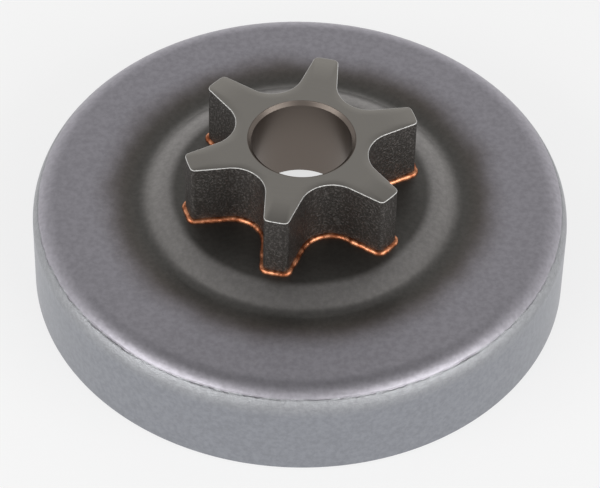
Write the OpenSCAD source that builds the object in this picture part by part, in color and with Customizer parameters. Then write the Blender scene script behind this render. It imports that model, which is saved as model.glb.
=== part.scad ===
// Clutch drum with a brazed spur sprocket, for the saw chain of a small chain saw.
// A pressed steel cup carries a toothed sprocket on the boss of its web.
// A seam of copper braze follows the teeth where the sprocket sits on the boss.
// The open side of the cup faces down. The origin is on the axis, in the plane of the open rim.

/* [Drum] */
// Outside diameter of the turned skirt
drum_d = 70; // [58:0.5:90]
// Height from the open rim to the flat outer part of the web
drum_h = 13.8; // [11.5:0.1:24]
// Thickness of the pressed sheet
sheet_t = 2.5; // [1.5:0.05:3.2]
// Inside radius of the bend between skirt and web
bend_r = 0.85; // [0.5:0.05:2]
// Chamfer on both edges of the open rim
rim_break = 0.3; // [0.1:0.05:0.6]

/* [Turned witness line] */
// How far round the outer bend turning stopped, in degrees up from the skirt
witness_deg = 38; // [20:1:70]
// Depth of the line that the tool left
witness_depth = 0.1; // [0.05:0.01:0.2]
// Width of that line
witness_w = 0.36; // [0.2:0.01:0.6]

/* [Web] */
// Width of the flat ring just inside the outer bend
flat_w = 3.65; // [2:0.05:5]
// Radius of the shallow curve that falls from that ring to the foot of the boss
dish_r = 54; // [40:1:80]
// Height of the boss above the flat ring
boss_rise = 1; // [0.6:0.05:1.6]
// Width of flat boss left outside the braze seam
boss_land = 0.6; // [0.4:0.05:1.5]
// Radius of the boss's rounded flank
flank_r = 6.9; // [6:0.1:9]
// Radius of the hollow at the foot of the boss, on the upper face
foot_r = 2.5; // [1:0.1:4]

/* [Sprocket] */
// Number of teeth
teeth = 6; // [5:1:7]
// Diameter over the tips of the teeth
tip_d = 30.6; // [28:0.1:31]
// Height of the teeth above the boss
tooth_h = 9.35; // [6:0.05:14]
// Radius of the round gap between two teeth, which seats the chain's drive tang
gap_r = 4.2; // [3.6:0.05:4.4]
// Steel left between the bore and the bottom of a gap
root_wall = 2.35; // [2:0.05:3]
// Lean of each tooth flank towards the tooth's own centre line, in degrees
flank_lean = 10; // [6:0.5:14]
// Rounding of a tooth's two tip corners
tip_round = 0.7; // [0.3:0.05:0.9]
// Angle of the first tooth about the axis, from +X
first_tooth_deg = 18.5; // [0:0.5:60]

/* [Bore and spigot] */
// Diameter of the bore, which runs on a needle cage
bore_d = 13; // [11:0.1:15]
// Chamfer at both ends of the bore
bore_chamfer = 0.45; // [0.2:0.05:0.8]
// Wall of the spigot that passes through the web
spigot_wall = 1.5; // [1.2:0.05:1.9]
// Length of spigot that shows under the web
spigot_proud = 0.95; // [0.6:0.05:2]
// Chamfer round the outside of the spigot's end
spigot_break = 0.3; // [0.1:0.05:0.5]
// Radial gap between spigot and web, which the braze fills
spigot_gap = 0.05; // [0.02:0.01:0.1]

/* [Braze] */
// Width of the copper seam on the boss, measured out from the teeth
seam_w = 0.5; // [0.3:0.05:0.8]
// Height of the seam up the tooth flanks
seam_h = 0.5; // [0.3:0.05:0.8]
// Clearance between the seam and the tooth flanks
seam_gap = 0.01; // [0.01:0.01:0.03]
// Radius of the copper ring round the spigot, under the web
ring_r = 0.35; // [0.2:0.05:0.5]

/* [Hidden] */

steel_grey = "#7d7c84";
sintered_grey = "#5f5d5a";
copper_orange = "#b8704a";

// How far a cut runs past the face that it opens
cut = 1;
// How far a round corner stands proud of the lines it blends, so that the outlines cross cleanly
blend = 0.002;
$fn = 96;

drum_r = drum_d / 2;
corner_r = sheet_t + bend_r;
flat_r = drum_r - corner_r - flat_w;
tip_r = tip_d / 2;
boss_r = tip_r + seam_w + boss_land;
bore_r = bore_d / 2;
spigot_r = bore_r + spigot_wall;
boss_z = drum_h + boss_rise;
web_under_z = boss_z - sheet_t;
top_z = boss_z + tooth_h;
spigot_end_z = web_under_z - spigot_proud;

// Centres of the three arcs between the flat ring and the boss. The hollow's arc touches both others.
dish_centre = [flat_r, drum_h - dish_r];
flank_centre = [boss_r, boss_z - flank_r];
foot_centre = circles_cross(dish_centre, dish_r + foot_r, flank_centre, flank_r + foot_r);

// The tooth outline, in a frame whose X axis is the tooth's centre line
half_pitch = 180 / teeth;
gap_centre_r = bore_r + root_wall + gap_r;
gap_centre = gap_centre_r * [cos(half_pitch), sin(half_pitch)];
flank_normal = [sin(flank_lean), cos(flank_lean)];
flank_offset = gap_centre * flank_normal - gap_r;
root_point = gap_centre - gap_r * flank_normal;
round_offset = flank_offset - tip_round;
round_reach = sqrt(pow(tip_r - tip_round, 2) - pow(round_offset, 2));
round_centre = round_offset * flank_normal + round_reach * [cos(flank_lean), -sin(flank_lean)];
round_deg = atan2(round_centre.y, round_centre.x);

// Crossing of two circles, on the upper side of the line from the first centre to the second
function circles_cross(c1, r1, c2, r2) =
    let (
        gap = c2 - c1,
        span = norm(gap),
        along = (r1 * r1 - r2 * r2 + span * span) / (2 * span),
        across = sqrt(r1 * r1 - along * along),
        dir = gap / span
    )
    c1 + along * dir + across * [dir.y, -dir.x];

// Point at the given distance from a centre, on the way to the centre of the foot's hollow
function toward_foot(centre, reach) = centre + reach * (foot_centre - centre) / norm(foot_centre - centre);

function mirrored(p) = [p.x, -p.y];

function turned(p, deg) = [p.x * cos(deg) - p.y * sin(deg), p.x * sin(deg) + p.y * cos(deg)];

function root_points() =
    [for (k = [0:teeth - 1], p = [mirrored(root_point), root_point]) turned(p, 2 * half_pitch * k)];

// Half section of the cup as a filled shape, with every face moved in by inset
module cup_half(inset, low) {
    dish_side = toward_foot(dish_centre, dish_r - inset - cut);
    flank_side = toward_foot(flank_centre, flank_r - inset - cut);
    difference() {
        union() {
            translate([flat_r, low]) square([drum_r - inset - flat_r, drum_h - corner_r - low]);
            translate([flat_r, low]) square([flat_w, drum_h - inset - low]);
            translate([drum_r - corner_r, drum_h - corner_r]) circle(corner_r - inset);
            translate([0, low]) square([boss_r, boss_z - inset - low]);
            intersection() {
                translate(dish_centre) circle(dish_r - inset);
                translate([0, low]) square([flat_r, drum_h]);
            }
            intersection() {
                translate(flank_centre) circle(flank_r - inset);
                translate([boss_r, low]) square([flat_r - boss_r, boss_z]);
            }
            polygon([[flank_side.x, low], [dish_side.x, low], dish_side, foot_centre, flank_side]);
        }
        translate(foot_centre) circle(foot_r + inset + blend);
    }
}

module drum_half_section() {
    witness_r = (pow(witness_w / 2, 2) + pow(witness_depth, 2)) / (2 * witness_depth);
    witness_reach = corner_r + witness_r - witness_depth;
    difference() {
        cup_half(0, 0);
        cup_half(sheet_t, -cut);
        translate([-cut, -cut]) square([spigot_r + spigot_gap + cut, boss_z + 2 * cut]);
        translate([drum_r - corner_r, drum_h - corner_r])
            translate(witness_reach * [cos(witness_deg), sin(witness_deg)])
                circle(witness_r);
        translate([drum_r, 0]) rotate(45) square(sqrt(2) * rim_break, center = true);
        translate([drum_r - sheet_t, 0]) rotate(45) square(sqrt(2) * rim_break, center = true);
    }
}

module clutch_drum() {
    color(steel_grey) rotate_extrude() drum_half_section();
}

// One tooth from the axis out. Its flanks start at the two root points, where the gaps' arcs end.
module tooth_blank() {
    reach = tip_r / cos(round_deg) + cut;
    round_foot = round_centre + tip_round * flank_normal;
    polygon([[0, 0], mirrored(root_point), mirrored(round_foot), mirrored(round_centre),
             round_centre, round_foot, root_point]);
    intersection() {
        circle(tip_r);
        polygon([[0, 0], reach * [cos(round_deg), -sin(round_deg)], reach * [cos(round_deg), sin(round_deg)]]);
    }
    translate(round_centre) circle(tip_round + blend);
    translate(mirrored(round_centre)) circle(tip_round + blend);
}

module tooth_outline() {
    difference() {
        union() {
            rotate(first_tooth_deg) polygon(root_points());
            for (k = [0:teeth - 1]) rotate(first_tooth_deg + 2 * half_pitch * k) tooth_blank();
        }
        for (k = [0:teeth - 1])
            rotate(first_tooth_deg + half_pitch * (2 * k + 1)) translate([gap_centre_r, 0]) circle(gap_r + blend);
    }
}

module spur_sprocket() {
    color(sintered_grey) difference() {
        union() {
            translate([0, 0, boss_z]) linear_extrude(tooth_h) tooth_outline();
            translate([0, 0, spigot_end_z])
                cylinder(h = spigot_break, r1 = spigot_r - spigot_break, r2 = spigot_r);
            translate([0, 0, spigot_end_z + spigot_break])
                cylinder(h = boss_z - spigot_end_z, r = spigot_r);
        }
        translate([0, 0, spigot_end_z - cut]) cylinder(h = top_z - spigot_end_z + 2 * cut, r = bore_r);
        translate([0, 0, top_z - bore_chamfer])
            cylinder(h = bore_chamfer + cut, r1 = bore_r, r2 = bore_r + bore_chamfer + cut);
        translate([0, 0, spigot_end_z - cut])
            cylinder(h = bore_chamfer + cut, r1 = bore_r + bore_chamfer + cut, r2 = bore_r);
    }
}

// Stations round one tooth, each a point of the outline and the direction that faces away from the steel.
// They run from the middle of one gap to just before the middle of the next.
gap_steps = 6;
round_steps = 5;
tip_steps = 4;
section_steps = 5;

function arc_stations(centre, radius, from_deg, to_deg, steps, side) =
    [for (i = [0:steps - 1])
        let (a = from_deg + (to_deg - from_deg) * i / steps)
        [centre + side * radius * [cos(a), sin(a)], a]];

function tooth_stations() =
    let (lean_deg = 90 - flank_lean)
    concat(
        arc_stations(mirrored(gap_centre), gap_r, -half_pitch, -lean_deg, gap_steps, -1),
        [[mirrored(root_point), -lean_deg]],
        arc_stations(mirrored(round_centre), tip_round, -lean_deg, -round_deg, round_steps, 1),
        arc_stations([0, 0], tip_r, -round_deg, round_deg, tip_steps, 1),
        arc_stations(round_centre, tip_round, round_deg, lean_deg, round_steps, 1),
        [[round_centre + tip_round * flank_normal, lean_deg]],
        arc_stations(gap_centre, gap_r, lean_deg, half_pitch, gap_steps, -1)
    );

function seam_stations() =
    [for (k = [0:teeth - 1], s = tooth_stations())
        let (deg = first_tooth_deg + 2 * half_pitch * k)
        [turned(s[0], deg), s[1] + deg]];

// Section of the seam: distance out from the outline, and height above the boss
function seam_section() =
    concat(
        [[seam_gap, 0]],
        [for (i = [0:section_steps])
            let (a = 90 * i / section_steps)
            [seam_gap + (seam_w - seam_gap) * cos(a), seam_h * sin(a)]]
    );

module tooth_seam() {
    stations = seam_stations();
    section = seam_section();
    rings = len(stations);
    sides = len(section);
    points = [for (s = stations, p = section)
        let (at = s[0] + p[0] * [cos(s[1]), sin(s[1])])
        [at.x, at.y, boss_z + p[1]]];
    faces = [for (i = [0:rings - 1], j = [0:sides - 1])
        let (
            this = i * sides,
            next = ((i + 1) % rings) * sides,
            k = (j + 1) % sides
        )
        each [[this + j, this + k, next + k], [this + j, next + k, next + j]]];
    polyhedron(points, faces);
}

module spigot_ring() {
    rotate_extrude() translate([spigot_r, web_under_z]) intersection() {
        circle(ring_r + spigot_gap);
        translate([0, -ring_r - cut]) square([ring_r + cut, ring_r + cut]);
    }
}

module braze_seam() {
    color(copper_orange) {
        tooth_seam();
        spigot_ring();
    }
}

clutch_drum();
spur_sprocket();
braze_seam();
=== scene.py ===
# Clutch drum with a brazed spur sprocket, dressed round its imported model.
import math
from functools import partial

import bpy
from mathutils import Matrix, Vector, noise


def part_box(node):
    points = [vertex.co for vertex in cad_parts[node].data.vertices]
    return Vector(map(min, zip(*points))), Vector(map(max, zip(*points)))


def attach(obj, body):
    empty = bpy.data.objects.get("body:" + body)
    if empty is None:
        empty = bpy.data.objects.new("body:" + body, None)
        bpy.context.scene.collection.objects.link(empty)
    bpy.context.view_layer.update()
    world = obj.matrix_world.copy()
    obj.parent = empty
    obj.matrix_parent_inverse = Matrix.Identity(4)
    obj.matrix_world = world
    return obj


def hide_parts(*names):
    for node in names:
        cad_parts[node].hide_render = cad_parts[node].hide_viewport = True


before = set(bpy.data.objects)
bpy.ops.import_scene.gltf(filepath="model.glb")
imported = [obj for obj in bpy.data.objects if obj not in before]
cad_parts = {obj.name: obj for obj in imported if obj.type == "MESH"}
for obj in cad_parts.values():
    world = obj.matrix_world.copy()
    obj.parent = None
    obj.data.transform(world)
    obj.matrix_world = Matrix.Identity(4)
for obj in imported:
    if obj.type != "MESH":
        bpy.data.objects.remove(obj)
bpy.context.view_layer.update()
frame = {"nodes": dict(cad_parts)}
mm = 0.001  # everything below is written in millimetres and built in metres
print("frame loaded:", ", ".join(frame["nodes"]))

drumLow, drumHigh = (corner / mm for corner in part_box("clutch_drum"))
sprocketLow, sprocketHigh = (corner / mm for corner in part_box("spur_sprocket"))


def srgb(hexText):
    parts = [int(hexText[i:i + 2], 16) / 255 for i in (1, 3, 5)]
    return [p / 12.92 if p <= 0.04045 else ((p + 0.055) / 1.055) ** 2.4 for p in parts] + [1.0]


# Adds a shader node with its settings and links, and gives back one of its outputs
def addNode(tree, kind, inputs=None, output=0, **settings):
    node = tree.nodes.new("ShaderNode" + kind)
    for name, value in settings.items():
        setattr(node, name, value)
    for name, value in (inputs or {}).items():
        if isinstance(value, bpy.types.NodeSocket):
            tree.links.new(value, node.inputs[name])
        else:
            node.inputs[name].default_value = value
    return node.outputs[output] if node.outputs else node


def newMaterial(name):
    material = bpy.data.materials.new(name)
    material.use_nodes = True
    material.node_tree.nodes.clear()
    return material, partial(addNode, material.node_tree)


# Where a point is on the object: in millimetres, its radius and height, and its direction from the axis
def place(add):
    metres = add("TexCoord", output="Object")
    point = add("VectorMath", {0: metres, "Scale": 1 / mm}, operation="SCALE")
    flat = add("VectorMath", {0: point, 1: (1, 1, 0)}, operation="MULTIPLY")
    radius = add("VectorMath", {0: flat}, "Value", operation="LENGTH")
    around = add("VectorMath", {0: flat}, operation="NORMALIZE")
    height = add("SeparateXYZ", {0: point}, "Z")
    return {"point": point, "radius": radius, "around": around, "height": height}


def arc(centre, radius, fromDeg, toDeg, steps):
    angles = [math.radians(fromDeg + (toDeg - fromDeg) * i / steps) for i in range(steps + 1)]
    return [(centre[0] + radius * math.cos(a), centre[1] + radius * math.sin(a)) for a in angles]


def line(start, end, steps):
    return [tuple(a + (b - a) * i / steps for a, b in zip(start, end)) for i in range(1, steps + 1)]


def angleTo(centre, point):
    return math.degrees(math.atan2(point[1] - centre[1], point[0] - centre[0]))


# Upper crossing of two circles, the first one on the left
def circlesCross(c1, r1, c2, r2):
    gap = Vector(c2) - Vector(c1)
    along = (r1 * r1 - r2 * r2 + gap.length_squared) / (2 * gap.length)
    across = math.sqrt(r1 * r1 - along * along)
    way = gap.normalized()
    return Vector(c1) + along * way + across * Vector((-way.y, way.x))


# Joins rings of points into one closed skin; every ring has the same number of points
def skin(name, rings, material):
    creaseDeg = 28
    count = len(rings[0])
    vertices = [tuple(c * mm for c in p) for ring in rings for p in ring]
    faces = []
    for i in range(len(rings)):
        here, following = i * count, ((i + 1) % len(rings)) * count
        for j in range(count):
            k = (j + 1) % count
            faces.append((here + j, here + k, following + k, following + j))
    mesh = bpy.data.meshes.new(name)
    mesh.from_pydata(vertices, [], faces)
    mesh.materials.append(material)
    mesh.shade_smooth()
    mesh.set_sharp_from_angle(angle=math.radians(creaseDeg))
    piece = bpy.data.objects.new(name, mesh)
    bpy.context.scene.collection.objects.link(piece)
    return piece


print("drum")

drum = {
    "sheet": 2.5,
    "innerBend": 0.85,
    "rimBreak": 0.3,
    "bossRise": 1.0,
    "flatWidth": 3.65,
    "dishRadius": 54,
    "bossRadius": 16.4,
    "flankRadius": 6.9,
    "footRadius": 2.5,
    "holeRadius": 8.05,
    "witnessDeg": 38,  # how far round the bend turning stopped
    "witnessDepth": 0.1,
    "witnessWidth": 0.36,
    "slowWander": (1.6, 9),  # degrees that the line strays, and how often
    "quickWander": (0.9, 40),
    "witnessFade": (0.7, 5),  # how much its depth comes and goes, and how often
    "bendWaves": (0.012, 1.8),
    "segments": 720,
}
drum["radius"] = (drumHigh.x - drumLow.x) / 2
drum["bossHeight"] = drumHigh.z
drum["flatHeight"] = drum["bossHeight"] - drum["bossRise"]
drum["bend"] = drum["sheet"] + drum["innerBend"]
drum["bendCentre"] = (drum["radius"] - drum["bend"], drum["flatHeight"] - drum["bend"])
drum["flatRadius"] = drum["bendCentre"][0] - drum["flatWidth"]


def drumSection(d):
    dishCentre = (d["flatRadius"], d["flatHeight"] - d["dishRadius"])
    flankCentre = (d["bossRadius"], d["bossHeight"] - d["flankRadius"])
    footCentre = circlesCross(flankCentre, d["flankRadius"] + d["footRadius"],
                              dishCentre, d["dishRadius"] + d["footRadius"])
    toFlank = angleTo(footCentre, flankCentre) + 360
    toDish = angleTo(footCentre, dishCentre) + 360
    flankDeg = angleTo(flankCentre, footCentre)
    dishDeg = angleTo(dishCentre, footCentre)
    outer, inner = d["radius"], d["radius"] - d["sheet"]
    underFlat = d["flatHeight"] - d["sheet"]
    underBoss = d["bossHeight"] - d["sheet"]
    belowBend = 0.2
    top = [(outer - d["rimBreak"], 0), (outer, d["rimBreak"])]
    top += line((outer, d["rimBreak"]), (outer, d["bendCentre"][1] - belowBend), 14)
    top += arc(d["bendCentre"], d["bend"], 0, 90, 56)
    top += line((d["bendCentre"][0], d["flatHeight"]), (d["flatRadius"], d["flatHeight"]), 3)
    top += arc(dishCentre, d["dishRadius"], 90, dishDeg, 9)[1:]
    top += arc(footCentre, d["footRadius"], toDish, toFlank, 8)[1:]
    top += arc(flankCentre, d["flankRadius"], flankDeg, 90, 10)[1:]
    top += [(d["holeRadius"], d["bossHeight"])]
    under = [(d["holeRadius"], underBoss)]
    under += arc(flankCentre, d["flankRadius"] - d["sheet"], 90, flankDeg, 5)
    under += arc(footCentre, d["footRadius"] + d["sheet"], toFlank, toDish, 5)[1:]
    under += arc(dishCentre, d["dishRadius"] - d["sheet"], dishDeg, 90, 5)[1:]
    under += [(d["bendCentre"][0], underFlat)]
    under += arc(d["bendCentre"], d["innerBend"], 90, 0, 6)[1:]
    under += line((inner, d["bendCentre"][1]), (inner, d["rimBreak"]), 4)
    under += [(inner + d["rimBreak"], 0)]
    return top, under


# How far a point of the bend lies out of its true round: the line where turning stopped, and faint waves
def bendRelief(d, way, bendDeg, r, z):
    slow, slowWaves = d["slowWander"]
    quick, quickWaves = d["quickWander"]
    fade, fadeWaves = d["witnessFade"]
    uneven, unevenWaves = d["bendWaves"]
    wander = slow * noise.noise(way * slowWaves) + quick * noise.noise(way * quickWaves)
    strength = max(0.2, 0.75 + fade * noise.noise(way * fadeWaves + Vector((0, 0, 3))))
    halfWidthDeg = math.degrees(d["witnessWidth"] / 2 / d["bend"])
    across = (bendDeg - d["witnessDeg"] - wander) / halfWidthDeg
    groove = d["witnessDepth"] * strength * math.exp(-across * across * 1.4)
    return uneven * noise.noise(Vector((way.x * r, way.y * r, z)) * unevenWaves) - groove


def buildDrum(d, outside, inside):
    top, under = drumSection(d)
    centreR, centreZ = d["bendCentre"]
    between = d["innerBend"] + d["sheet"] / 2
    rings = []
    for r, z in top + under:
        bendDeg = angleTo(d["bendCentre"], (r, z))
        onBend = r > centreR and z > centreZ and math.dist(d["bendCentre"], (r, z)) > between
        ring = []
        for k in range(d["segments"]):
            a = 2 * math.pi * k / d["segments"]
            way = Vector((math.cos(a), math.sin(a), 0))
            rr, zz = r, z
            if onBend:
                scale = 1 + bendRelief(d, way, bendDeg, r, z) / d["bend"]
                rr = centreR + (r - centreR) * scale
                zz = centreZ + (z - centreZ) * scale
            ring.append((rr * way.x, rr * way.y, zz))
        rings.append(ring)
    piece = skin("drum_shell", rings, outside)
    piece.data.materials.append(inside)
    firstInside = (len(top) - 1) * d["segments"]
    for polygon in piece.data.polygons:
        polygon.material_index = 1 if polygon.index >= firstInside else 0
    return piece


# Deep-drawn mild steel: pressed and furnace brazed, so the web keeps a dull blue-brown heat tint, and
# turned bright on the skirt. The eye gets a dark satin top, a gritty bright bend and a silky pale side.
def pressedSteel(d):
    look = {
        "web": "#aca9b0",
        "tintBrown": "#6a625c",
        "darkTintAndPaintedShade": "#64625f",
        # this dark grey is heat tint near the boss and painted shade beside the teeth
        "boss": "#9b9896",
        "skirt": "#94969c",
        "bandBright": "#a4a5a8",
        "webRoughness": 0.42,
        "turnedRoughness": 0.36,
        "edgeNoise": 1.2,  # size of the steps in the turned edge
        "edgeStray": 16,  # degrees of the bend
        "blotch": 6,
        "mottle": 0.7,
        "grit": 0.22,  # coarser than the torn steel's 0.05 mm, so that it shows
        "turningPitch": 0.35,  # the tool's feed was about 0.15 mm a turn, drawn coarser so that it shows
        "gritDepth": 0.09,
        "lineDepth": 0.012,
        "mottleDepth": 0.015,
    }
    material, add = newMaterial("pressed steel, heat tinted and part turned")
    at = place(add)
    # Where turning stopped, measured round the bend, with a ragged edge
    rise = add("Math", {0: at["height"], 1: d["bendCentre"][1]}, operation="SUBTRACT")
    run = add("Math", {0: at["radius"], 1: d["bendCentre"][0]}, operation="SUBTRACT")
    bendAngle = add("Math", {0: rise, 1: run}, operation="ARCTAN2")
    bendDeg = add("Math", {0: bendAngle}, operation="DEGREES")
    ragged = add("TexNoise", {"Vector": at["point"], "Scale": 1 / look["edgeNoise"], "Detail": 4})
    stray = add("Math", {0: ragged, 1: 0.5}, operation="SUBTRACT")
    edge = add("Math", {0: stray, 1: look["edgeStray"], 2: bendDeg}, operation="MULTIPLY_ADD")
    turned = add("MapRange", {0: edge, 1: d["witnessDeg"] - 1.5, 2: d["witnessDeg"] + 1.5, 3: 1, 4: 0},
                 interpolation_type="SMOOTHSTEP")
    # Heat tint in the dish, dull dark near the boss, paler on its flank, and painted shade darkening the
    # web beside the teeth
    blotch = add("TexNoise", {"Vector": at["point"], "Scale": 1 / look["blotch"], "Detail": 3})
    mottle = add("TexNoise", {"Vector": at["point"], "Scale": 1 / look["mottle"], "Detail": 4,
                              "Roughness": 0.65})
    uneven = add("Math", {0: blotch, 1: 3, 2: at["radius"]}, operation="MULTIPLY_ADD")
    inTint = add("MapRange", {0: uneven, 1: 23.5, 2: 29.5, 3: 1, 4: 0}, interpolation_type="SMOOTHSTEP")
    inDark = add("MapRange", {0: at["radius"], 1: 21, 2: 25.5, 3: 1, 4: 0},
                 interpolation_type="SMOOTHSTEP")
    onBoss = add("MapRange", {0: at["radius"], 1: 18.5, 2: 21.5, 3: 1, 4: 0},
                 interpolation_type="SMOOTHSTEP")
    # Painted shade: the web is darkened in a ring round the foot of the teeth, where the sprocket shades it
    paintedShadeByTeeth = add("MapRange", {0: at["radius"], 1: 16.2, 2: 17.6, 3: 1, 4: 0},
                    interpolation_type="SMOOTHSTEP")
    web = srgb(look["web"])
    for amount, tint in ((inTint, "tintBrown"), (inDark, "darkTintAndPaintedShade"), (onBoss, "boss"),
                         (paintedShadeByTeeth, "darkTintAndPaintedShade")):
        web = add("Mix", {0: amount, 6: web, 7: srgb(look[tint])}, 2, data_type="RGBA")
    nearBend = add("MapRange", {0: at["height"], 1: 9.5, 2: 12.2}, interpolation_type="SMOOTHSTEP")
    skirt = add("Mix", {0: nearBend, 6: srgb(look["skirt"]), 7: srgb(look["bandBright"])}, 2,
                data_type="RGBA")
    colour = add("Mix", {0: turned, 6: web, 7: skirt}, 2, data_type="RGBA")
    shade = add("MapRange", {0: mottle, 1: 0.3, 2: 0.7, 3: 0.9, 4: 1.08}, interpolation_type="SMOOTHSTEP")
    grey = add("CombineXYZ", {0: shade, 1: shade, 2: shade})
    colour = add("Mix", {0: 1.0, 6: colour, 7: grey}, 2, data_type="RGBA", blend_type="MULTIPLY")
    # Torn grit on the bend, the tool's lines round the skirt, and a fine orange peel on the web
    grit = add("TexNoise", {"Vector": at["point"], "Scale": 1 / look["grit"], "Detail": 3,
                            "Roughness": 0.7})
    onBand = add("MapRange", {0: at["height"], 1: 9.3, 2: 11.6}, interpolation_type="SMOOTHSTEP")
    lineVector = add("VectorMath", {0: at["point"], 1: (0, 0, 1), 2: at["around"]},
                     operation="MULTIPLY_ADD")
    lines = add("TexNoise", {"Vector": lineVector, "Scale": 1 / look["turningPitch"], "Detail": 3,
                             "Roughness": 0.6})
    torn = add("Math", {0: onBand, 1: turned}, operation="MULTIPLY")
    pressed = add("Math", {0: 1, 1: turned}, operation="SUBTRACT")
    normal = None
    for height, amount, depth in ((grit, torn, "gritDepth"), (lines, turned, "lineDepth"),
                                  (mottle, pressed, "mottleDepth")):
        relief = add("Math", {0: height, 1: amount}, operation="MULTIPLY")
        inputs = {"Height": relief, "Strength": 1, "Distance": look[depth] * mm}
        if normal:
            inputs["Normal"] = normal
        normal = add("Bump", inputs)
    roughness = add("Mix", {0: turned, 2: look["webRoughness"], 3: look["turnedRoughness"]})
    shader = add("BsdfPrincipled", {"Base Color": colour, "Metallic": 1.0, "Roughness": roughness,
                                    "Normal": normal})
    add("OutputMaterial", {"Surface": shader})
    return material


# The same steel inside the cup, turned where the clutch shoes rub and dark on the web's underside
def insideSteel(d):
    look = {
        "web": "#6e6a68",
        "wall": "#b4b4b8",
        "roughness": 0.4,
        "turningPitch": 0.35,
        "lineDepth": 0.02,
    }
    material, add = newMaterial("turned steel inside the cup")
    at = place(add)
    wallRadius = d["radius"] - d["sheet"]
    onWall = add("MapRange", {0: at["radius"], 1: wallRadius - 1, 2: wallRadius - 0.2},
                 interpolation_type="SMOOTHSTEP")
    colour = add("Mix", {0: onWall, 6: srgb(look["web"]), 7: srgb(look["wall"])}, 2, data_type="RGBA")
    lineVector = add("VectorMath", {0: at["point"], 1: (0, 0, 1), 2: at["around"]},
                     operation="MULTIPLY_ADD")
    lines = add("TexNoise", {"Vector": lineVector, "Scale": 1 / look["turningPitch"], "Detail": 3,
                             "Roughness": 0.6})
    normal = add("Bump", {"Height": lines, "Strength": 1, "Distance": look["lineDepth"] * mm})
    shader = add("BsdfPrincipled", {"Base Color": colour, "Metallic": 1.0,
                                    "Roughness": look["roughness"], "Normal": normal})
    add("OutputMaterial", {"Surface": shader})
    return material


drumShell = buildDrum(drum, pressedSteel(drum), insideSteel(drum))
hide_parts("clutch_drum")
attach(drumShell, "root")


print("sprocket")

sprocket = {
    "teeth": 6,
    "tipRadius": 15.3,
    "gapRadius": 4.2,
    "rootWall": 2.35,
    "flankLean": 10,
    "tipRound": 0.7,
    "firstToothDeg": 18.5,
    "boreRadius": 6.5,
    "boreChamfer": 0.45,
    "spigotWall": 1.5,
    "spigotBreak": 0.3,
    "edgeBreak": 0.1,
    "wallSteps": 46,
    "wallWaves": 0.012,  # the die leaves the flanks a little uneven along the press direction
}
sprocket["top"] = sprocketHigh.z
sprocket["seat"] = drum["bossHeight"]
sprocket["low"] = sprocketLow.z


# Points round one tooth with the way that each faces, from mid-gap to just before the next mid-gap
def toothStations(s):
    half = 180 / s["teeth"]
    lean = 90 - s["flankLean"]
    gapReach = s["boreRadius"] + s["rootWall"] + s["gapRadius"]
    gapCentre = Vector((gapReach * math.cos(math.radians(half)), gapReach * math.sin(math.radians(half))))
    normal = Vector((math.cos(math.radians(lean)), math.sin(math.radians(lean))))
    along = Vector((normal.y, -normal.x))
    offset = gapCentre.dot(normal) - s["gapRadius"] - s["tipRound"]
    reach = math.sqrt((s["tipRadius"] - s["tipRound"]) ** 2 - offset ** 2)
    roundCentre = offset * normal + reach * along
    roundDeg = math.degrees(math.atan2(roundCentre.y, roundCentre.x))
    rootPoint = gapCentre - s["gapRadius"] * normal
    roundFoot = roundCentre + s["tipRound"] * normal

    def arcSide(centre, radius, fromDeg, toDeg, steps, side):
        found = []
        for i in range(steps):
            a = fromDeg + (toDeg - fromDeg) * i / steps
            way = Vector((math.cos(math.radians(a)), math.sin(math.radians(a))))
            found.append((Vector(centre) + side * radius * way, a))
        return found

    def straight(start, end, deg, steps):
        return [(start.lerp(end, i / steps), deg) for i in range(steps)]

    upper = straight(roundFoot, rootPoint, lean, 22)
    upper += arcSide(gapCentre, s["gapRadius"], lean, half, 22, -1)
    lower = arcSide((gapCentre.x, -gapCentre.y), s["gapRadius"], -half, -lean, 22, -1)
    lower += straight(Vector((rootPoint.x, -rootPoint.y)), Vector((roundFoot.x, -roundFoot.y)), -lean, 22)
    tip = arcSide((roundCentre.x, -roundCentre.y), s["tipRound"], -lean, -roundDeg, 10, 1)
    tip += arcSide((0, 0), s["tipRadius"], -roundDeg, roundDeg, 12, 1)
    tip += arcSide(roundCentre, s["tipRound"], roundDeg, lean, 10, 1)
    return lower + tip + upper


def outlineStations(s):
    found = []
    for k in range(s["teeth"]):
        deg = s["firstToothDeg"] + 360 / s["teeth"] * k
        turn = Matrix.Rotation(math.radians(deg), 2)
        for point, facing in toothStations(s):
            a = math.radians(facing + deg)
            found.append((turn @ point, Vector((math.cos(a), math.sin(a)))))
    return found


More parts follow.
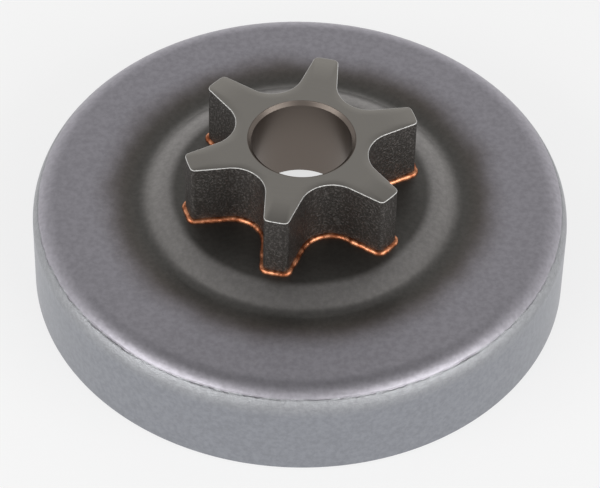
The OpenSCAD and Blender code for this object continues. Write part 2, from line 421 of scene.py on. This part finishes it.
def buildSprocket(s, steel):
    stations = outlineStations(s)
    edge = s["edgeBreak"]
    wallTop = s["top"] - edge

    def outlineRing(inset, z):
        return [(p.x - inset * n.x, p.y - inset * n.y, z) for p, n in stations]

    def roundRing(radius, z):
        return [(p.x * radius / p.length, p.y * radius / p.length, z) for p, n in stations]

    rings = []
    for i in range(s["wallSteps"] + 1):
        z = s["seat"] + (wallTop - s["seat"]) * i / s["wallSteps"]
        ring = []
        for p, n in stations:
            wave = s["wallWaves"] * noise.noise(Vector((p.x * 1.6, p.y * 1.6, z * 0.5)))
            ring.append((p.x + wave * n.x, p.y + wave * n.y, z))
        rings.append(ring)
    rings.append(outlineRing(edge * 0.3, s["top"] - edge * 0.3))
    faceOuter = outlineRing(edge, s["top"])
    faceInner = roundRing(s["boreRadius"] + s["boreChamfer"], s["top"])
    faceMiddle = [tuple(Vector(a).lerp(Vector(b), 0.5)) for a, b in zip(faceOuter, faceInner)]
    rings += [faceOuter, faceMiddle, faceInner]
    boreTop, boreLow = s["top"] - s["boreChamfer"], s["low"] + s["boreChamfer"]
    rings.append(roundRing(s["boreRadius"], boreTop))
    rings += [roundRing(s["boreRadius"], z) for _, z in line((0, boreTop), (0, boreLow), 6)]
    rings.append(roundRing(s["boreRadius"] + s["boreChamfer"], s["low"]))
    spigot = s["boreRadius"] + s["spigotWall"]
    rings.append(roundRing(spigot - s["spigotBreak"], s["low"]))
    rings.append(roundRing(spigot, s["low"] + s["spigotBreak"]))
    rings.append(roundRing(spigot, s["seat"]))
    return skin("sprocket_teeth", rings, steel)


# Sintered steel: the flanks keep the coarse grain of pressed powder, darkened in the furnace, the top is
# faced on a lathe, and the bore is sized and polished, its grey darkened with painted shade. A painted
# highlight runs along the top's broken edge. The eye gets three different greys on one piece.
def sinteredSteel(s):
    look = {
        "flank": "#55524f",
        "flankPale": "#8b8884",
        "face": "#9a9690",
        # bore: a darker grey, painted shade inside the hole over the sized steel
        "bore": "#766d66",
        # edge: near-white, a painted highlight along the top's broken edge
        "edge": "#f0efec",
        "roughness": 0.34,
        "flankRoughness": 0.5,
        "grain": 0.3,  # powder grains are 0.1 mm, drawn larger so that they show
        "grainDepth": 0.1,
        "facingPitch": 0.5,  # the facing tool's feed was about 0.1 mm, drawn coarser so that it shows
        "facingDepth": 0.012,
    }
    material, add = newMaterial("sintered steel, faced and bored")
    at = place(add)
    grain = add("TexNoise", {"Vector": at["point"], "Scale": 1 / look["grain"], "Detail": 3,
                             "Roughness": 0.7})
    # The flat top, the bore with its chamfer, and what is left over, which is the flanks
    onFace = add("MapRange", {0: at["height"], 1: s["top"] - 0.03, 2: s["top"] - 0.01},
                 interpolation_type="SMOOTHSTEP")
    inBore = add("MapRange", {0: at["radius"], 1: s["boreRadius"] + 0.5, 2: s["boreRadius"] + 0.55,
                              3: 1, 4: 0}, interpolation_type="SMOOTHSTEP")
    offFace = add("Math", {0: 1, 1: onFace}, operation="SUBTRACT")
    outOfBore = add("Math", {0: 1, 1: inBore}, operation="SUBTRACT")
    isFlank = add("Math", {0: offFace, 1: outOfBore}, operation="MULTIPLY")
    paleGrain = add("MapRange", {0: grain, 1: 0.45, 2: 0.75}, interpolation_type="SMOOTHSTEP")
    colour = add("Mix", {0: paleGrain, 6: srgb(look["flank"]), 7: srgb(look["flankPale"])}, 2,
                 data_type="RGBA")
    colour = add("Mix", {0: onFace, 6: colour, 7: srgb(look["face"])}, 2, data_type="RGBA")
    # Painted shade: the bore and its chamfer get a darker grey for the shade inside the hole
    colour = add("Mix", {0: inBore, 6: colour, 7: srgb(look["bore"])}, 2, data_type="RGBA")
    # Painted highlight: a near-white line along the broken edge of the top
    breakLow = s["top"] - s["edgeBreak"]
    aboveBreak = add("MapRange", {0: at["height"], 1: breakLow - 0.02, 2: breakLow + 0.01},
                     interpolation_type="SMOOTHSTEP")
    belowTop = add("MapRange", {0: at["height"], 1: s["top"] - 0.012, 2: s["top"] - 0.002, 3: 1, 4: 0},
                   interpolation_type="SMOOTHSTEP")
    paintedEdgeHighlight = add("Math", {0: aboveBreak, 1: belowTop}, operation="MULTIPLY")
    paintedEdgeHighlight = add("Math", {0: paintedEdgeHighlight, 1: outOfBore}, operation="MULTIPLY")
    colour = add("Mix", {0: paintedEdgeHighlight, 6: colour, 7: srgb(look["edge"])}, 2, data_type="RGBA")
    flat = add("CombineXYZ", {0: at["radius"]})
    ringVector = add("VectorMath", {0: flat, 1: (1, 0, 0), 2: at["around"]}, operation="MULTIPLY_ADD")
    rings = add("TexNoise", {"Vector": ringVector, "Scale": 1 / look["facingPitch"], "Detail": 3,
                             "Roughness": 0.6})
    grainHeight = add("Math", {0: grain, 1: isFlank}, operation="MULTIPLY")
    ringHeight = add("Math", {0: rings, 1: onFace}, operation="MULTIPLY")
    normal = add("Bump", {"Height": grainHeight, "Strength": 1, "Distance": look["grainDepth"] * mm})
    normal = add("Bump", {"Height": ringHeight, "Strength": 1, "Distance": look["facingDepth"] * mm,
                          "Normal": normal})
    roughness = add("Mix", {0: isFlank, 2: look["roughness"], 3: look["flankRoughness"]})
    shader = add("BsdfPrincipled", {"Base Color": colour, "Metallic": 1.0, "Roughness": roughness,
                                    "Normal": normal})
    add("OutputMaterial", {"Surface": shader})
    return material


toothPiece = buildSprocket(sprocket, sinteredSteel(sprocket))
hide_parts("spur_sprocket")
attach(toothPiece, "root")


print("braze seam")

seam = {
    "width": 0.5,
    "height": 0.5,
    "gap": 0.01,
    "ringRadius": 0.35,
    "spigotGap": 0.05,
    "steps": 9,
    "ringSegments": 240,
    "swell": ((0.16, 0.9), (0.08, 3)),  # how much the melt swells and thins, and how often
    "ringSwell": (0.2, 6),
}


def buildBead(b, s, copper):
    (broad, broadWaves), (fine, fineWaves) = b["swell"]
    rings = []
    for p, n in outlineStations(s):
        spot = Vector((p.x, p.y, 0))
        swell = 1 + broad * noise.noise(spot * broadWaves) + fine * noise.noise(spot * fineWaves)
        ring = [(p.x + b["gap"] * n.x, p.y + b["gap"] * n.y, s["seat"])]
        for i in range(b["steps"] + 1):
            a = math.radians(90 * i / b["steps"])
            reach = b["gap"] + (b["width"] - b["gap"]) * math.cos(a) * swell
            rise = b["height"] * math.sin(a) * swell
            ring.append((p.x + reach * n.x, p.y + reach * n.y, s["seat"] + rise))
        rings.append(ring)
    return skin("braze_seam_copper", rings, copper)


def buildSpigotRing(b, s, copper):
    spigot = s["boreRadius"] + s["spigotWall"]
    underWeb = s["seat"] - drum["sheet"]
    reach = b["ringRadius"] + b["spigotGap"]
    amount, waves = b["ringSwell"]
    rings = []
    for k in range(b["ringSegments"]):
        a = 2 * math.pi * k / b["ringSegments"]
        way = Vector((math.cos(a), math.sin(a)))
        swell = 1 + amount * noise.noise(Vector((way.x * waves, way.y * waves, 0)))
        ring = [(spigot * way.x, spigot * way.y, underWeb)]
        for i in range(b["steps"]):
            t = math.radians(90 * i / (b["steps"] - 1))
            r = spigot + reach * math.sin(t) * swell
            ring.append((r * way.x, r * way.y, underWeb - reach * math.cos(t) * swell))
        rings.append(ring)
    return skin("braze_ring_copper", rings, copper)


# Copper brazing wire, melted in a furnace: bright orange where it shines, brown where it is thin.
# The eye gets a fine glowing line that swells and thins as the melt was drawn into the joint.
def brazedCopper():
    look = {
        "bright": "#e8a078",
        "brown": "#9a5a3c",
        "roughness": 0.3,
        "patch": 0.8,
        "grain": 0.25,
        "grainDepth": 0.03,
    }
    material, add = newMaterial("brazed copper")
    at = place(add)
    patch = add("TexNoise", {"Vector": at["point"], "Scale": 1 / look["patch"], "Detail": 3})
    shine = add("MapRange", {0: patch, 1: 0.35, 2: 0.65}, interpolation_type="SMOOTHSTEP")
    colour = add("Mix", {0: shine, 6: srgb(look["brown"]), 7: srgb(look["bright"])}, 2, data_type="RGBA")
    grain = add("TexNoise", {"Vector": at["point"], "Scale": 1 / look["grain"], "Detail": 3,
                             "Roughness": 0.6})
    normal = add("Bump", {"Height": grain, "Strength": 1, "Distance": look["grainDepth"] * mm})
    shader = add("BsdfPrincipled", {"Base Color": colour, "Metallic": 1.0,
                                    "Roughness": look["roughness"], "Normal": normal})
    add("OutputMaterial", {"Surface": shader})
    return material


copper = brazedCopper()
bead = buildBead(seam, sprocket, copper)
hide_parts("braze_seam")
for piece in (bead, buildSpigotRing(seam, sprocket, copper)):
    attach(piece, "root")


print("floor, light and camera")

studio = {
    "floorRadius": 3.0,
    "floor": "#f7f7f7",
    "floorWhite": 0.72,  # how much of the floor is plain white to the camera, the rest takes the shadow
    "horizon": 0.9,  # brightness of the surroundings at the horizon, half way up and overhead
    "halfUp": 0.5,
    "overhead": 0.15,
}


def buildFloor(f):
    mesh = bpy.data.meshes.new("floor")
    count = 64
    ring = [(f["floorRadius"] * math.cos(2 * math.pi * k / count),
             f["floorRadius"] * math.sin(2 * math.pi * k / count), 0) for k in range(count)]
    mesh.from_pydata(ring, [], [tuple(range(count))])
    floor = bpy.data.objects.new("floor", mesh)
    bpy.context.scene.collection.objects.link(floor)
    material, add = newMaterial("pale studio floor")
    camera, glossy, through = (add("LightPath", output=ray) for ray in (
        "Is Camera Ray", "Is Glossy Ray", "Is Transmission Ray"))
    seen = add("Math", {0: glossy, 1: through}, operation="MAXIMUM")
    seen = add("Math", {0: camera, 1: seen}, operation="MAXIMUM")
    share = add("Math", {0: seen, 1: f["floorWhite"]}, operation="MULTIPLY")
    diffuse = add("BsdfDiffuse", {"Color": srgb(f["floor"])})
    white = add("Emission", {"Color": (1, 1, 1, 1), "Strength": 1.0})
    both = add("MixShader", {0: share, 1: diffuse, 2: white})
    add("OutputMaterial", {"Surface": both})
    mesh.materials.append(material)


def buildWorld(f):
    world = bpy.data.worlds.new("studio")
    world.use_nodes = True
    world.node_tree.nodes.clear()
    add = partial(addNode, world.node_tree)
    direction = add("TexCoord", output="Generated")
    up = add("SeparateXYZ", {0: direction}, "Z")
    low = add("MapRange", {0: up, 1: 0, 2: 0.75, 3: f["horizon"], 4: f["halfUp"]},
              interpolation_type="SMOOTHSTEP")
    high = add("MapRange", {0: up, 1: 0.76, 2: 1.0, 3: 1, 4: f["overhead"] / f["halfUp"]},
               interpolation_type="SMOOTHSTEP")
    strength = add("Math", {0: low, 1: high}, operation="MULTIPLY")
    background = add("Background", {"Color": (1, 1, 1, 1), "Strength": strength})
    add("OutputWorld", {"Surface": background})
    bpy.context.scene.world = world


# Azimuth is measured from +X towards +Y, and the camera stands at -Y, which is 270
softBoxes = {
    "left box": {"azimuth": 220, "elevation": 25, "distance": 0.9, "wide": 0.8, "high": 0.6, "power": 2.2},
    "right box": {"azimuth": 320, "elevation": 25, "distance": 0.9, "wide": 0.8, "high": 0.6, "power": 2.2},
}


def buildLights(boxes):
    for name, box in boxes.items():
        lamp = bpy.data.lights.new(name, "AREA")
        lamp.shape = "RECTANGLE"
        lamp.size = box["wide"]
        lamp.size_y = box["high"]
        lamp.energy = box["power"] * math.pi * box["wide"] * box["high"]  # from the box's own brightness
        light = bpy.data.objects.new(name, lamp)
        a, e = math.radians(box["azimuth"]), math.radians(box["elevation"])
        way = Vector((math.cos(a) * math.cos(e), math.sin(a) * math.cos(e), math.sin(e)))
        light.location = way * box["distance"]
        light.rotation_euler = way.to_track_quat("Z", "Y").to_euler()
        bpy.context.scene.collection.objects.link(light)


view = {
    "distance": 457.5,
    "elevation": 45.91,
    "tilt": -0.808,  # the object sits a little high in the picture
    "pan": -0.0115,
    "roll": 1.354,
    "lens": 210.24,  # on a 36 mm wide sensor
}


def buildCamera(v):
    data = bpy.data.cameras.new("camera")
    data.lens = v["lens"]
    data.sensor_width = 36
    data.clip_start = 0.01
    camera = bpy.data.objects.new("camera", data)
    bpy.context.scene.collection.objects.link(camera)
    e = math.radians(v["elevation"])
    aim = Vector((0, 0, drum["flatHeight"]))
    at = (aim + v["distance"] * Vector((0, -math.cos(e), math.sin(e)))) * mm
    turns = ((90 - v["elevation"], "X"), (v["pan"], "Y"), (v["tilt"], "X"), (v["roll"], "Z"))
    matrix = Matrix.Translation(at)
    for degrees, axis in turns:
        matrix = matrix @ Matrix.Rotation(math.radians(degrees), 4, axis)
    camera.matrix_world = matrix
    bpy.context.scene.camera = camera


buildFloor(studio)
buildWorld(studio)
buildLights(softBoxes)
buildCamera(view)
bpy.context.scene.view_settings.view_transform = "Standard"
